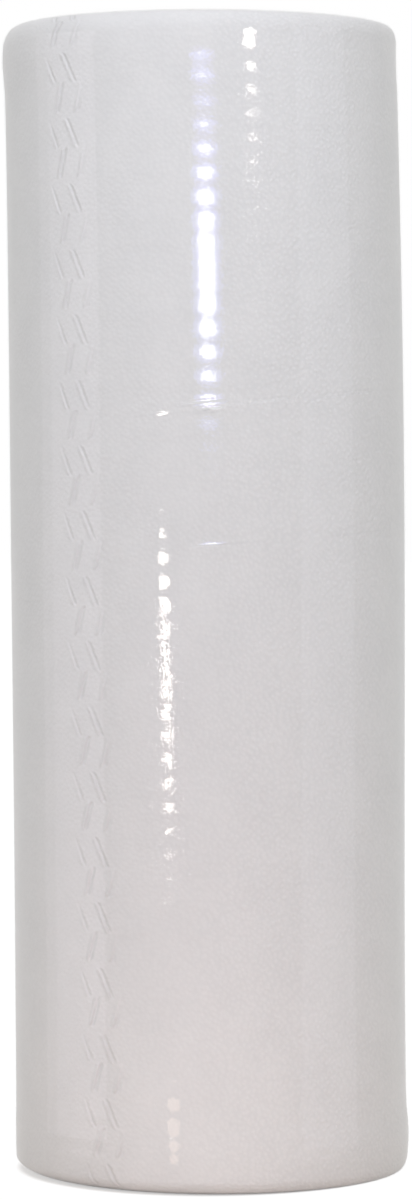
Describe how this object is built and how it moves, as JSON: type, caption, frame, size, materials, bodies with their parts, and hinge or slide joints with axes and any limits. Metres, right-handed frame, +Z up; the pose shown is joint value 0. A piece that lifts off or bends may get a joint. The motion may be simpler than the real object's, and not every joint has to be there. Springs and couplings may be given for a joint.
{
  "type": "exam table paper roll",
  "caption": "White embossed two-ply couch paper wound on a board core and shrink-wrapped in clear film, standing on its end with the core open at both ends.",
  "frame": {"origin": "on the core's axis, at the plane that the roll stands on", "axes": "+Z up along the core's axis; -Y is the front and the film's lap runs down the back at +Y"},
  "size_m": [0.1727, 0.1727, 0.5007],
  "materials": {
    "core_board": "matte grey-brown board, spirally wound, with a fine seam",
    "embossed_paper": "soft white two-ply tissue with a fine pebble emboss",
    "clear_film": "thin clear shrink film, glossy, with fine ripples"
  },
  "bodies": {
    "root": {"core_tube": "core_board", "paper_roll": "embossed_paper", "shrink_wrap": "clear_film"}
  },
  "joints": []
}
